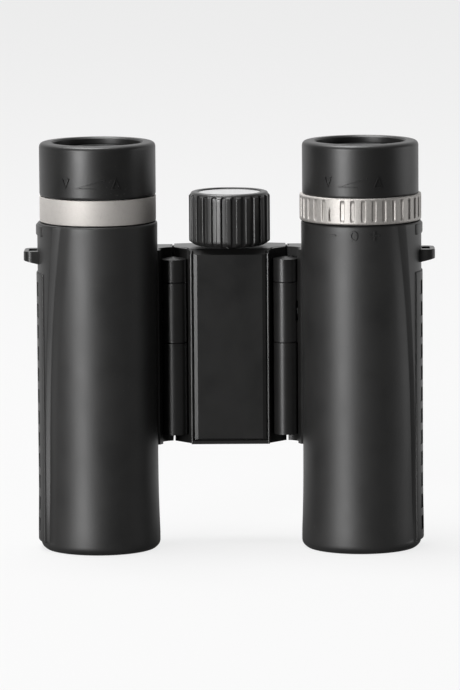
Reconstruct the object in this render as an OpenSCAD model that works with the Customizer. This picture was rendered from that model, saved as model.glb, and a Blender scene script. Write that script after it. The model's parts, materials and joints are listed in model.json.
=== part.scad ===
// Compact folding binoculars on two hinges, standing on the objective rims.
// +Z runs along the optical axes towards the eyepieces, +X to the side of the
// dioptre ring, and the barrels fold towards -Y.

/* [Overall] */
// Spacing of the two barrel axes when fully unfolded
eye_spacing = 74; // [73:0.5:76]
// Overall height, standing on the objective rims
total_h = 115.6; // [115.4:0.1:116.2]

/* [Barrels] */
// Armour radius at the eyepiece end
armour_top_r = 16.75; // [16.6:0.05:16.85]
// Armour radius at the waist, above the objective end
armour_waist_r = 16.5; // [16.4:0.05:16.6]
// Armour radius at the foot
armour_base_r = 16.9; // [16.7:0.05:17.1]
// Height of the rubber armour
armour_h = 93; // [92.6:0.1:93.1]
// Radius of the plain trim ring and of the eyecups
eyecup_r = 16.4; // [16.2:0.05:16.45]
// How far an eyecup rises when it is twisted up
eyecup_lift = 7; // [4:0.5:8.5]

/* [Bridge] */
// Half the width of the bridge frame between the hinges
bridge_half_w = 11.1; // [10.9:0.1:11.2]
// Height of the bridge's lower face
bridge_z0 = 29; // [28.5:0.1:29.6]
// Height of the bridge's upper face
bridge_z1 = 84.5; // [84:0.1:84.8]
// Distance of each hinge axis from the middle plane
hinge_x = 15.76; // [15.6:0.02:15.9]
// Radius of the hinge knuckles
knuckle_r = 3.6; // [3.5:0.05:3.65]

/* [Focus wheel] */
// Radius of the focus wheel over its ribs
wheel_r = 11.5; // [11.2:0.05:11.6]
// Number of ribs on the focus wheel
wheel_ribs = 25; // [20:1:30]
// How far the focus carriage travels each way
focus_travel = 1.75; // [1:0.05:1.8]

/* [Dioptre ring] */
// Radius of the dioptre ring over its ribs
diopter_r = 17.15; // [17.05:0.05:17.3]
// Number of ribs on the dioptre ring
diopter_ribs = 36; // [30:1:40]

/* [Hidden] */
$fn = 72;
over = 1;          // how far a cutter runs past the face that it cuts
run_gap = 0.05;    // running clearance of a shaft or hinge pin
slide_gap = 0.1;   // clearance of a sliding ring
fit = 0.05;        // assembly gap between two parts of one body

// Barrel interior, measured from the barrel axis
half_spacing = eye_spacing / 2;
housing_r = 15.2;
housing_bore = 13.6;
seat_r = 12.6;
seat_z = [11.4, 12.4];
hood_r = 14;
lip_h = 2;
retainer_top = 5.2;
housing_top = 90.8;
rim_low_r = 15.3;
rim_mid = [16.35, 0.55];
rim_h = 1.7;
flare_z = [5, 20];
sleeve_r = 14.4;
sleeve_bore = 11.3;
sleeve_z = [90.9, 112.9];
flange_top = 92;
cell_r = sleeve_bore - slide_gap;
ring_z = [93.3, 100.45];
cup_z0 = 100.7;
cup_bore = sleeve_r + slide_gap;
cup_core_r = 15.3;
cup_mouth_r = 12.65;
cup_lip = 1.8;
cup_core_top = total_h - cup_lip;
cup_flange = 0.6;
cup_guide_z = cup_z0 + 2.3;
key_w = 2;
key_depth = 0.7;
slide_ring_z = [cup_z0 + 0.3, cup_z0 + 2.1];
key_top = slide_ring_z[1] + eyecup_lift + 0.6;

// Glass: rim radius, heights and face radii
lens_fn = 240;
objective_r = 13.2;
crown_z = [5.3, 9.3];
crown_front = 52;
cement_r = 90;
cement = 0.02;
flint_z = [8.4, 11.3];
focus_lens_r = 10.6;
focus_lens_z = [53.6, 57.2];
focus_hollow_r = 40;
focus_hollow = 1.4;
focus_cell_z = [52, 59];
field_r = 9.5;
field_z = [94, 99.6];
field_faces = [28, 30];
eye_r = 8.4;
eye_z = [106, 111.3];
eye_faces = [40, 26];
ocular_z = [92.6, 113.8];
ocular_mouth_r = 7.2;
seal_ring = [13.2, 5.72];
seal_r = 0.36;

// Prisms: their cradle and its cavity
cage_z = [70.6, 90.4];
cage_cavity = 8.2;
cage_wall = 1.4;
prism_half = 7.8;
prism_gate_r = 7;
roof_z = [72.2, 82.2];
roof_eave_z = 76.5;
roof_front_z = 75.6;
roof_back_z = 80.2;
roof_corner = [-2.2, 81.9];
penta_z = [77.2, 88.8];
penta_back_z = 84.4;
penta_corner = [-1.6, 82.9];

// Side grip and strap lug, on the outermost line of each barrel
grip_half_angle = 28;
grip_z = [2.4, 79];
grip_floor_r = 15.9;
grip_r = 17.5;
grip_base_r = 17.7;
grip_edge = 0.4;
pocket_count = 12;
pocket_pitch = 6.1;
pocket_h = 3.9;
pocket_z0 = 5.2;
pocket_floor_r = 16.9;
pocket_y = [2.1, 5.1];
lug_z = [81.4, 85];
lug_tip_h = 2.6;
lug_x = 20.95;
lug_corner = 2.4;
lug_half_w = 4.85;
lug_slot = [2.3, 5];
lug_wall = 1.4;
land_r = 17.15;
land_z = [2.4, 92];
land_deg = [29.25, 46.85];
land_flare_z = [15, 88];
land_steps = 12;
bump_z = [89.4, 92.4];

// Hinges: plan positions are measured from the plane of the barrel axes
hinge_y = 4.6;
knuckle_z = [31.6, 82.2];
split_z = [57.9, 75.1];
split_gap = 0.3;
slit_x = 16.1;
slit = 0.54;
tongue_y = [11.5, 14];
tongue_h = 3.6;
tongue_reach = 0.3;
tongue_gap = 0.15;
valley_y = 8.5;
wing_back_y = 16;
wing_front_y = 1;
wing_front_x = -17;
hinge_bore = 2.2;
bush_h = 6;
washer_r = 2.9;
knuckle_cap = 0.8;
cone_h = 0.6;
rod_r = 1.2;
chamber_z = [62.5, 71];
chamber_r = 2.75;
fork_z = [66, 67.6];
fork_r = 2.4;
fork_w = 1.8;
fork_gap = 0.35;
stalk_x = [10.9, 12.9];
stalk_half_w = 1.6;
hinge_span = norm([half_spacing - hinge_x, hinge_y]);
hinge_dir = atan2(hinge_y, hinge_x - half_spacing);

// Bridge frame
frame_front_y = 1.4;
frame_rib_y = 1.33;
frame_rib_x = 10.85;
cover_front_y = 1;
cover_back_y = 3.3;
cover_half_w = 10.15;
cover_z0 = 30.3;
cover_gap = 0.45;
cover_bevel_w = 0.95;
cover_bevel_h = 0.34;
cover_foot = 0.4;
frame_back_y = 19.5;
frame_edge_y = 17.3;
web_front_y = 3.2;
back_sag = frame_back_y - frame_edge_y;
back_edge_x = slit_x - slit / 2;
back_r = (pow(back_edge_x, 2) + pow(back_sag, 2)) / (2 * back_sag);
cavity_half_w = 8.4;
cavity_y = [3.3, 15.6];
cavity_z = [32, 80.5];
plate_half_w = 12;
plate_z = [33, 81];
plate_t = 1;
screw_x = 9.3;
screw_rows = [36, 77.5];
shank_r = 0.78;
head_r = 1.5;
head_y = 16.1;
head_h = 1.3;
bush_r = 4;
bush_flange_r = 5;
bush_flange_h = 0.7;
brow_drop = 1.4;
brow_run = 3.4;

// Focus drive
wheel_y = 10;
wheel_z0 = 85.15;
wheel_z1 = 100.25;
wheel_rim_r = 10.45;
wheel_rib_z = [86.3, 99.15];
wheel_rib_depth = 0.45;
wheel_groove_deg = 8.8;
wheel_groove_at = -7.9;
disc_r = 8.9;
disc_drop = 0.4;
hub_r = 9.4;
hub_core_r = 4;
hub_floor_z = 89.3;
hub_wall = 1.4;
screw_r = 2;
screw_shoulder_z = 33.4;
screw_top_z = 96.2;
thread_top_z = 56;
thread_pitch = 1.5;
thread_depth = 0.4;
journal_r = 1.2;
disc_z0 = 98.6;
carriage_z = [39, 46];
carriage_half_w = 8.1;
carriage_y = [5.2, 14.6];
arm_z = [41, 44];
arm_root = [7.4, 12.6];
arm_w = 2.2;

// Dioptre ring
diopter_lip_z = 100.95;
diopter_lip_r = eyecup_r + 0.3;
diopter_groove_z = [94.25, 99.95];
diopter_groove_deg = 4.9;
diopter_groove_at = 2;
diopter_groove_depth = 0.45;
index_at = -28;
index_h = 3.2;

// The barrels' plane is set forward so that the whole object is centred on the origin
barrel_y = -(wheel_y + wheel_r - diopter_r) / 2;

shell_black = "#2b2b2c";
rubber_black = "#1f1f20";
metal_black = "#3a3a3b";
satin_silver = "#c4c2bd";
steel = "#9a9a9c";
brass = "#b08d4a";
glass_tint = "#9fb8c8";

// ---------------------------------------------------------------- placing

// Moves plan positions from the plane of the barrel axes to the row frame
module in_row() {
  translate([0, barrel_y, 0]) children();
}

// Draws a barrel part, made about its own axis with +X outwards, on one side
module on_side(side) {
  if (side == "right")
    in_row() translate([half_spacing, 0, 0]) children();
  else
    in_row() mirror([1, 0, 0]) translate([half_spacing, 0, 0]) children();
}

// Draws both halves of a part that is the same left and right
module both() {
  children();
  mirror([1, 0, 0]) children();
}

// Turns a barrel part so that +X points at the hinge axis
module toward_hinge() {
  rotate([0, 0, hinge_dir]) children();
}

// ---------------------------------------------------------------- helpers

// Upright cylinder between two heights
module post(r, z0, z1) {
  translate([0, 0, z0]) cylinder(r = r, h = z1 - z0);
}

// Upright tube between two heights
module tube(r_out, r_in, z0, z1) {
  difference() {
    post(r_out, z0, z1);
    post(r_in, z0 - over, z1 + over);
  }
}

// Solid turned from a half section
module turned(section) {
  rotate_extrude() polygon(section);
}

// Box between two corners
module block(low, high) {
  translate(low) cube(high - low);
}

// Wedge-shaped sector of a turned section, centred on +X
module sector(half_angle, section) {
  rotate([0, 0, -half_angle]) rotate_extrude(angle = 2 * half_angle) polygon(section);
}

// Armour radius at a height
function armour_r(z) = lookup(z, [
  [flare_z[0], armour_base_r], [flare_z[1], armour_waist_r], [armour_h, armour_top_r]
]);

// Places children on the hinge axis of the +X side
module at_hinge() {
  translate([hinge_x, hinge_y, 0]) children();
}

// ---------------------------------------------------------------- bridge

// Plan of half the bridge, from its middle to the slit
module frame_plan() {
  polygon([
    [0, frame_front_y], [cover_half_w + cover_gap, frame_front_y], [frame_rib_x, frame_rib_y],
    [bridge_half_w, frame_front_y], [bridge_half_w, web_front_y],
    [back_edge_x, valley_y], [back_edge_x, frame_back_y], [0, frame_back_y]
  ]);
}

// Slanted cut along the upper front edge of the bridge
module brow_cut() {
  rotate([90, 0, 90]) translate([0, 0, -20]) linear_extrude(40)
    polygon([
      [cover_front_y - over, bridge_z1 - brow_drop - 0.4], [cover_front_y + brow_run, bridge_z1],
      [cover_front_y + brow_run, bridge_z1 + over], [cover_front_y - over, bridge_z1 + over]
    ]);
}

// Path of a carriage arm from the carriage to the hinge axis, with room to spare
module arm_path(width, end_r, z0, z1) {
  reach = norm([hinge_x, hinge_y] - arm_root);
  heading = atan2(hinge_y - arm_root[1], hinge_x - arm_root[0]);
  translate([arm_root[0], arm_root[1], 0]) rotate([0, 0, heading]) {
    block([0, -width / 2, z0], [reach, width / 2, z1]);
    translate([reach, 0, 0]) post(end_r, z0, z1);
  }
}

// Everything cut from one half of the frame
module frame_cuts() {
  block([-over, cavity_y[0] - over, cavity_z[0]], [cavity_half_w, cavity_y[1], cavity_z[1]]);
  block([-over, -over, cover_z0 - 0.3], [cover_half_w + cover_gap, cavity_y[0], bridge_z1 + over]);
  arm_path(arm_w + 0.8, fork_r + 0.3, arm_z[0] - focus_travel - 0.35, arm_z[1] + focus_travel + 0.35);
  at_hinge() {
    post(rod_r + 0.15, arm_z[0] - focus_travel - 3, split_z[0]);
    post(hinge_bore, split_z[0] - bush_h, split_z[0] + over);
    post(hinge_bore, split_z[1] - over, knuckle_z[1] - knuckle_cap);
    post(knuckle_r + 0.3, split_z[0] - split_gap / 2, split_z[1] + split_gap / 2);
  }
  for (z = screw_rows) {
    translate([screw_x, 0, z]) rotate([-90, 0, 0]) {
      cylinder(r = shank_r + run_gap, h = frame_back_y);
      translate([0, 0, head_y - 0.1]) cylinder(r = head_r + 0.1, h = 5);
    }
  }
}

// Knuckle of the frame between two heights
module frame_knuckle(z0, z1) {
  at_hinge() post(knuckle_r, z0, z1);
}

module bridge_frame() {
  color(shell_black) in_row() difference() {
    both() difference() {
      union() {
        intersection() {
          translate([0, 0, bridge_z0]) linear_extrude(bridge_z1 - bridge_z0) frame_plan();
          translate([0, frame_back_y - back_r, 0]) cylinder(r = back_r, h = bridge_z1 + over, $fn = 180);
        }
        frame_knuckle(knuckle_z[0], split_z[0] - split_gap / 2);
        frame_knuckle(split_z[1] + split_gap / 2, knuckle_z[1] - cone_h);
        at_hinge() translate([0, 0, knuckle_z[1] - cone_h]) cylinder(r1 = knuckle_r, r2 = cone_h, h = cone_h);
        block([back_edge_x - over, tongue_y[0], bridge_z1 - tongue_h],
          [slit_x + slit / 2 + tongue_reach, tongue_y[1], bridge_z1]);
      }
      frame_cuts();
    }
    brow_cut();
    translate([0, wheel_y, 0]) {
      post(bush_r, cavity_z[1] - over, bridge_z1);
      post(bush_flange_r, bridge_z1 - bush_flange_h, bridge_z1 + over);
      post(journal_r + run_gap, bridge_z0 + 0.8, cavity_z[0] + over);
    }
    back_panel(plate_half_w + 0.15, plate_z[0] - 0.15, plate_z[1] + 0.15, plate_t);
  }
}

// Slice of the bridge's bulged back, a hair proud of it
module back_panel(half_w, z0, z1, thickness) {
  intersection() {
    translate([0, frame_back_y - back_r, 0]) tube(back_r + 0.15, back_r - thickness, z0, z1, $fn = 180);
    block([-half_w, cavity_y[1], z0], [half_w, frame_back_y + over, z1]);
  }
}

module back_plate() {
  color(metal_black) in_row() back_panel(plate_half_w, plate_z[0], plate_z[1], plate_t - fit);
}

module front_cover() {
  bevel_y = cover_front_y + cover_bevel_h;
  color(shell_black) in_row() difference() {
    intersection() {
      translate([0, 0, cover_z0]) linear_extrude(bridge_z1 - cover_z0)
        polygon([
          [-cover_half_w, cover_back_y], [-cover_half_w, bevel_y],
          [-cover_half_w + cover_bevel_w, cover_front_y], [cover_half_w - cover_bevel_w, cover_front_y],
          [cover_half_w, bevel_y], [cover_half_w, cover_back_y]
        ]);
      translate([-cover_half_w - over, 0, 0]) rotate([90, 0, 90]) linear_extrude(2 * (cover_half_w + over))
        polygon([
          [cover_back_y + over, cover_z0], [bevel_y, cover_z0], [cover_front_y, cover_z0 + cover_foot],
          [cover_front_y, bridge_z1 + over], [cover_back_y + over, bridge_z1 + over]
        ]);
    }
    brow_cut();
    for (x = [-screw_x, screw_x], z = screw_rows)
      translate([x, cover_front_y + 0.8, z]) rotate([-90, 0, 0]) cylinder(r = shank_r + 0.02, h = 3);
  }
}

module cover_screws() {
  color(steel) in_row() for (x = [-screw_x, screw_x], z = screw_rows)
    translate([x, 0, z]) rotate([-90, 0, 0]) {
      translate([0, 0, cover_front_y + 0.9]) cylinder(r = shank_r, h = head_y - cover_front_y - 0.9);
      translate([0, 0, head_y]) difference() {
        cylinder(r = head_r, h = head_h);
        translate([0, 0, head_h / 2]) cylinder(r = head_r / 2, h = head_h, $fn = 6);
      }
    }
}

module focus_bush() {
  color(brass) in_row() translate([0, wheel_y, 0]) difference() {
    union() {
      post(bush_r, cavity_z[1], bridge_z1 - bush_flange_h);
      post(bush_flange_r - fit, bridge_z1 - bush_flange_h, bridge_z1 - 0.1);
    }
    post(screw_r + run_gap, cavity_z[1] - over, bridge_z1 + 2);
  }
}

module upper_hinge_pins() {
  color(steel) in_row() both() at_hinge() post(hinge_bore, chamber_z[1] + 0.2, knuckle_z[1] - knuckle_cap);
}

module lower_hinge_bushes() {
  color(brass) in_row() both() at_hinge()
    tube(hinge_bore, rod_r + run_gap, split_z[0] - bush_h, chamber_z[0] - 0.3);
}

module hinge_washers() {
  color(steel) in_row() both() at_hinge() for (z = split_z)
    tube(washer_r, hinge_bore + run_gap, z - 0.1, z + 0.1);
}

// ---------------------------------------------------------------- focus drive

// Radial slots round a wheel, numbered from the first
module flutes(count, first_deg, slot_deg, r, depth, z0, z1, skip = -1) {
  half_w = r * sin(slot_deg / 2);
  for (i = [0 : count - 1])
    if (i != skip)
      rotate([0, 0, first_deg - 90 + i * 360 / count])
        block([r - depth, -half_w, z0], [r + over, half_w, z1]);
}

module wheel_grip() {
  color(rubber_black) in_row() translate([0, wheel_y, 0]) difference() {
    turned([
      [hub_r, wheel_z0], [wheel_r - 1.8, wheel_z0], [wheel_r, wheel_rib_z[0]], [wheel_r, wheel_rib_z[1]],
      [wheel_rim_r + 0.5, wheel_z1 - 0.35], [wheel_rim_r, wheel_z1], [disc_r + 0.1, wheel_z1],
      [disc_r + 0.1, disc_z0], [hub_r, disc_z0]
    ]);
    flutes(wheel_ribs, wheel_groove_at, wheel_groove_deg, wheel_r, wheel_rib_depth,
      wheel_z0 + 0.6, wheel_rib_z[1] + 0.35);
  }
}

module wheel_hub() {
  color(metal_black) in_row() translate([0, wheel_y, 0]) difference() {
    post(hub_r, wheel_z0 + 0.3, disc_z0);
    post(screw_r, wheel_z0, screw_top_z);
    tube(hub_r - hub_wall, hub_core_r, hub_floor_z, disc_z0 + over);
  }
}

module wheel_disc() {
  color("#dddcda") in_row() translate([0, wheel_y, 0]) post(disc_r, disc_z0, wheel_z1 - disc_drop);
}

module focus_screw() {
  color(steel) in_row() translate([0, wheel_y, 0]) difference() {
    union() {
      post(screw_r, screw_shoulder_z, screw_top_z);
      post(journal_r, bridge_z0 + 1, screw_shoulder_z);
    }
    for (z = [screw_shoulder_z + 1 : thread_pitch : thread_top_z])
      turned([[screw_r - thread_depth, z], [screw_r + 0.1, z - 0.5], [screw_r + 0.1, z + 0.5]]);
  }
}

module screw_clip() {
  color(steel) in_row() translate([0, wheel_y, 0]) tube(3.4, screw_r, cavity_z[1] - 1.2, cavity_z[1] - 0.3);
}

module focus_carriage() {
  color(brass) in_row() difference() {
    union() {
      block([-carriage_half_w, carriage_y[0], carriage_z[0]],
        [carriage_half_w, carriage_y[1], carriage_z[1]]);
      both() arm_path(arm_w, fork_r, arm_z[0], arm_z[1]);
    }
    translate([0, wheel_y, 0]) post(screw_r + 0.1, carriage_z[0] - over, carriage_z[1] + over);
    both() at_hinge() post(rod_r, arm_z[0] - over, arm_z[1] + over);
  }
}

module push_rods() {
  collar_h = 1;
  color(steel) in_row() both() at_hinge() {
    post(rod_r, arm_z[0], fork_z[1] + 0.1 + collar_h);
    post(fork_r, fork_z[0] - 0.1 - collar_h, fork_z[0] - 0.1);
    post(fork_r, fork_z[1] + 0.1, fork_z[1] + 0.1 + collar_h);
  }
}

// ---------------------------------------------------------------- barrels

// Plan of the hinge arm, in the barrel's own frame
module arm_plan(grow = 0) {
  edge_x = slit_x + slit / 2 - half_spacing;
  polygon([
    [edge_x, valley_y - grow], [wing_front_x + grow / 2, wing_front_y - grow], [-13.2, wing_front_y - grow],
    [-6, wing_back_y + grow], [edge_x, wing_back_y + grow]
  ]);
}

module housing() {
  arm_face = slit_x + slit / 2 - half_spacing;
  difference() {
    union() {
      post(housing_r, lip_h, housing_top);
      translate([0, 0, bridge_z0]) linear_extrude(bridge_z1 - bridge_z0) arm_plan();
      toward_hinge() translate([hinge_span, 0, 0])
        post(knuckle_r, split_z[0] + split_gap / 2, split_z[1] - split_gap / 2);
    }
    post(housing_bore, seat_z[1], housing_top + over);
    post(seat_r, seat_z[0] - over, seat_z[1] + over);
    post(housing_bore, lip_h - over, seat_z[0]);
    block([arm_face - over, tongue_y[0] - tongue_gap, bridge_z1 - tongue_h - tongue_gap],
      [arm_face + tongue_reach + tongue_gap, tongue_y[1] + tongue_gap, bridge_z1 + over]);
    toward_hinge() {
      translate([hinge_span, 0, 0]) {
        post(knuckle_r + 0.3, bridge_z0 - over, split_z[0] + split_gap / 2);
        post(knuckle_r + 0.3, split_z[1] - split_gap / 2, bridge_z1 + over);
        post(hinge_bore + run_gap, split_z[0], split_z[1]);
        post(chamber_r, chamber_z[0], chamber_z[1]);
      }
      block([housing_bore - over, -fork_w / 2 - fork_gap, fork_z[0] - focus_travel - fork_gap],
        [hinge_span, fork_w / 2 + fork_gap, fork_z[1] + focus_travel + fork_gap]);
    }
  }
}

module armour() {
  difference() {
    union() {
      turned([
        [hood_r, 0], [rim_low_r, 0], rim_mid, [armour_base_r, rim_h],
        [armour_base_r, flare_z[0]], [armour_waist_r, flare_z[1]],
        [armour_top_r, armour_h - 0.3], [armour_top_r - 0.3, armour_h], [sleeve_r + fit, armour_h],
        [sleeve_r + fit, flange_top + fit], [housing_r + fit, flange_top + fit],
        [housing_r + fit, lip_h], [hood_r, lip_h]
      ]);
      armour_land();
      sector(grip_half_angle, [
        [land_r - over, bump_z[0]], [land_r, bump_z[0]], [grip_r, bump_z[0] + 0.4],
        [grip_r, bump_z[1] - 0.7], [land_r, bump_z[1]], [land_r - over, bump_z[1]]
      ]);
    }
    sector(grip_half_angle + 0.2, [
      [grip_floor_r, grip_z[0] - 0.1], [20, grip_z[0] - 0.1],
      [20, grip_z[1] + 0.1], [grip_floor_r, grip_z[1] + 0.1]
    ]);
    lug_socket();
    translate([0, 0, bridge_z0 - fit]) linear_extrude(bridge_z1 - bridge_z0 + 2 * fit) arm_plan(fit);
  }
}

// Half the width of the raised land at a height, seen from the side of the barrel
function land_half_w(z) =
  armour_waist_r * sin(land_deg[0] + (land_deg[1] - land_deg[0])
    * pow(max(z - land_flare_z[0], 0) / (land_flare_z[1] - land_flare_z[0]), 2));

// Raised land down the outer side, which widens towards the eyepiece end
module armour_land() {
  low = land_z[0] - over;
  rise = (armour_h - low) / land_steps;
  edge = [for (i = [0 : land_steps]) [land_half_w(low + i * rise), low + i * rise]];
  intersection() {
    turned([
      [housing_r + 0.3, land_z[0]], [land_r - 0.3, land_z[0]], [land_r, land_z[0] + 0.3],
      [land_r, land_z[1] - 0.3], [land_r - 0.4, land_z[1] + 0.5], [housing_r + 0.3, land_z[1] + 0.5]
    ]);
    rotate([90, 0, 90]) linear_extrude(land_r + over)
      polygon(concat(edge, [for (i = [land_steps : -1 : 0]) [-edge[i][0], edge[i][1]]]));
  }
}

// Room for the root of the strap lug
module lug_socket() {
  block([12, -lug_half_w - fit, lug_z[0] - fit], [20, lug_half_w + fit, lug_z[1] + fit]);
}

module side_grip() {
  difference() {
    sector(grip_half_angle, [
      [grip_floor_r + fit, grip_z[0]], [grip_base_r - grip_edge, grip_z[0]],
      [grip_base_r, grip_z[0] + grip_edge], [grip_base_r, flare_z[0]], [grip_r, flare_z[1]],
      [grip_r, grip_z[1] - grip_edge], [grip_r - grip_edge, grip_z[1]], [grip_floor_r + fit, grip_z[1]]
    ]);
    for (i = [0 : pocket_count - 1], side = [-1, 1])
      translate([pocket_floor_r, side > 0 ? pocket_y[0] : -pocket_y[1], pocket_z0 + i * pocket_pitch])
        cube([3, pocket_y[1] - pocket_y[0], pocket_h]);
  }
}

module strap_lug() {
  slot_x = lug_x - lug_wall - lug_slot[0];
  root_x = housing_r - 2;
  intersection() {
    translate([0, 0, lug_z[0]]) linear_extrude(lug_z[1] - lug_z[0]) difference() {
      union() {
        translate([root_x, -lug_half_w]) square([lug_x - root_x - lug_corner, 2 * lug_half_w]);
        translate([root_x, -lug_half_w + lug_corner])
          square([lug_x - root_x, 2 * (lug_half_w - lug_corner)]);
        for (side = [-1, 1])
          translate([lug_x - lug_corner, side * (lug_half_w - lug_corner)]) circle(r = lug_corner);
      }
      translate([slot_x, -lug_slot[1] / 2]) square([lug_slot[0], lug_slot[1]]);
      circle(r = housing_r + fit);
    }
    translate([0, lug_half_w + over, 0]) rotate([90, 0, 0]) linear_extrude(2 * (lug_half_w + over))
      polygon([
        [root_x, lug_z[0]], [armour_top_r, lug_z[0]], [lug_x, lug_z[1] - lug_tip_h],
        [lug_x, lug_z[1] - 0.3], [lug_x - 0.3, lug_z[1]], [root_x, lug_z[1]]
      ]);
  }
}

module objective_ring() {
  turned([
    [seat_r, lip_h + 0.9], [housing_bore - 0.5, lip_h + 0.05], [housing_bore - fit, lip_h + 0.05],
    [housing_bore - fit, retainer_top], [seat_r, retainer_top]
  ]);
}

// Round glass between two heights with domed or hollow faces
module lens(r, z, front_r, rear_r) {
  intersection() {
    post(r, z[0], z[1]);
    translate([0, 0, z[0] + front_r]) sphere(r = front_r, $fn = lens_fn);
    translate([0, 0, z[1] - rear_r]) sphere(r = rear_r, $fn = lens_fn);
  }
}

module objective_crown() {
  lens(objective_r, crown_z, crown_front, cement_r);
}

module objective_flint() {
  difference() {
    post(objective_r, flint_z[0], flint_z[1]);
    translate([0, 0, crown_z[1] + cement - cement_r]) sphere(r = cement_r, $fn = lens_fn);
  }
}

module objective_seal() {
  rotate_extrude() translate(seal_ring) circle(r = seal_r);
}

module focus_cell() {
  toward_hinge() difference() {
    union() {
      post(housing_bore - 0.3, focus_cell_z[0], focus_cell_z[1]);
      block([stalk_x[0], -stalk_half_w, focus_cell_z[1] - over], [stalk_x[1], stalk_half_w, fork_z[1]]);
      block([stalk_x[0], -fork_w / 2, fork_z[0]], [hinge_span, fork_w / 2, fork_z[1]]);
      translate([hinge_span, 0, 0]) post(fork_r, fork_z[0], fork_z[1]);
    }
    post(focus_lens_r, focus_cell_z[0] - over, focus_cell_z[1] + over);
    translate([hinge_span, 0, 0]) post(rod_r + 0.1, fork_z[0] - over, fork_z[1] + over);
  }
}

module focus_lens() {
  difference() {
    post(focus_lens_r, focus_lens_z[0], focus_lens_z[1]);
    translate([0, 0, focus_lens_z[1] - focus_hollow + focus_hollow_r])
      sphere(r = focus_hollow_r, $fn = lens_fn);
  }
}

// Cradle for the two prisms, with round windows along the light path
module prism_cage() {
  difference() {
    post(housing_bore - fit, cage_z[0], cage_z[1]);
    block([-cage_cavity, -cage_cavity, cage_z[0] + cage_wall],
      [cage_cavity, cage_cavity, cage_z[1] - cage_wall]);
    post(prism_gate_r, cage_z[0] - over, cage_z[1] + over);
  }
}

module roof_prism() {
  intersection() {
    rotate([90, 0, 0]) translate([0, 0, -prism_half]) linear_extrude(2 * prism_half)
      polygon([
        [-prism_half, roof_z[0]], [prism_half, roof_z[0]], [prism_half, roof_front_z], roof_corner,
        [-prism_half, roof_back_z]
      ]);
    rotate([90, 0, 90]) translate([0, 0, -prism_half]) linear_extrude(2 * prism_half)
      polygon([
        [-prism_half, roof_z[0]], [prism_half, roof_z[0]], [prism_half, roof_eave_z], [0, roof_z[1]],
        [-prism_half, roof_eave_z]
      ]);
  }
}

module half_penta_prism() {
  rotate([90, 0, 0]) translate([0, 0, -prism_half]) linear_extrude(2 * prism_half)
    polygon([
      [prism_half, penta_z[0]], [prism_half, penta_z[1]], [-prism_half, penta_z[1]],
      [-prism_half, penta_back_z], penta_corner
    ]);
}

module eyepiece_sleeve() {
  difference() {
    turned([
      [sleeve_bore, sleeve_z[0]], [housing_r, sleeve_z[0]], [housing_r, flange_top],
      [sleeve_r, flange_top], [sleeve_r, sleeve_z[1] - 0.4], [sleeve_r - 0.4, sleeve_z[1]],
      [sleeve_bore, sleeve_z[1]]
    ]);
    block([sleeve_r - key_depth - 0.15, -key_w / 2 - 0.15, cup_z0],
      [sleeve_r + over, key_w / 2 + 0.15, key_top]);
  }
}

module ocular_cell() {
  turned([
    [field_r, ocular_z[0]], [cell_r, ocular_z[0]], [cell_r, ocular_z[1] - 1.7], [8.9, ocular_z[1]],
    [ocular_mouth_r + 0.4, ocular_z[1]], [ocular_mouth_r, ocular_z[1] - 0.6], [ocular_mouth_r, eye_z[1]],
    [eye_r, eye_z[1]], [eye_r, eye_z[0] - 0.1], [field_r, eye_z[0] - 0.1]
  ]);
}

module field_lens() {
  lens(field_r, field_z, field_faces[0], field_faces[1]);
}

module eye_lens() {
  lens(eye_r, eye_z, eye_faces[0], eye_faces[1]);
}

module trim_ring() {
  turned([
    [sleeve_r, ring_z[0]], [eyecup_r - 0.3, ring_z[0]], [eyecup_r, ring_z[0] + 0.3],
    [eyecup_r, ring_z[1] - 0.3], [eyecup_r - 0.3, ring_z[1]], [sleeve_r, ring_z[1]]
  ]);
}

module eyecup_core() {
  turned([
    [cup_bore + 0.6, cup_z0 + 0.1], [cup_core_r, cup_z0 + 0.1], [cup_core_r, cup_core_top],
    [cup_mouth_r + 0.3, cup_core_top], [cup_mouth_r + 0.3, cup_core_top - cup_flange],
    [cup_bore, cup_core_top - cup_flange], [cup_bore, cup_guide_z], [cup_bore + 0.6, cup_guide_z]
  ]);
}

module eyecup_rubber() {
  rotate_extrude() {
    polygon([
      [cup_core_r, cup_z0 + 0.2], [cup_core_r + 0.2, cup_z0],
      [eyecup_r - 0.25, cup_z0], [eyecup_r, cup_z0 + 0.25], [eyecup_r, cup_core_top],
      [eyecup_r - cup_lip, total_h], [cup_mouth_r + 0.5, total_h], [cup_mouth_r, total_h - 0.5],
      [cup_mouth_r, cup_core_top], [cup_core_r, cup_core_top]
    ]);
    translate([eyecup_r - cup_lip, cup_core_top]) intersection() {
      circle(r = cup_lip);
      square(cup_lip);
    }
  }
}

module eyecup_slide_ring() {
  tube(cup_bore + 0.5, cup_bore - 0.02, slide_ring_z[0], slide_ring_z[1]);
  block([sleeve_r - key_depth, -key_w / 2, slide_ring_z[0]], [cup_bore + 0.2, key_w / 2, slide_ring_z[1]]);
}

module diopter_ring() {
  color(satin_silver) on_side("right") difference() {
    turned([
      [sleeve_r + run_gap, ring_z[0]], [diopter_r - 0.5, ring_z[0]], [diopter_r, ring_z[0] + 0.5],
      [diopter_r, diopter_lip_z - 0.4], [diopter_r - 0.25, diopter_lip_z], [diopter_lip_r, diopter_lip_z],
      [diopter_lip_r, ring_z[1]], [sleeve_r + run_gap, ring_z[1]]
    ]);
    flutes(diopter_ribs, diopter_groove_at, diopter_groove_deg, diopter_r, diopter_groove_depth,
      diopter_groove_z[0], diopter_groove_z[1], diopter_ribs - 3);
    rotate([0, 0, index_at - 90])
      block([diopter_r - 0.4, -0.25, diopter_groove_z[0]],
        [diopter_r + over, 0.25, diopter_groove_z[0] + index_h]);
  }
}

// ---------------------------------------------------------------- all nodes

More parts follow.
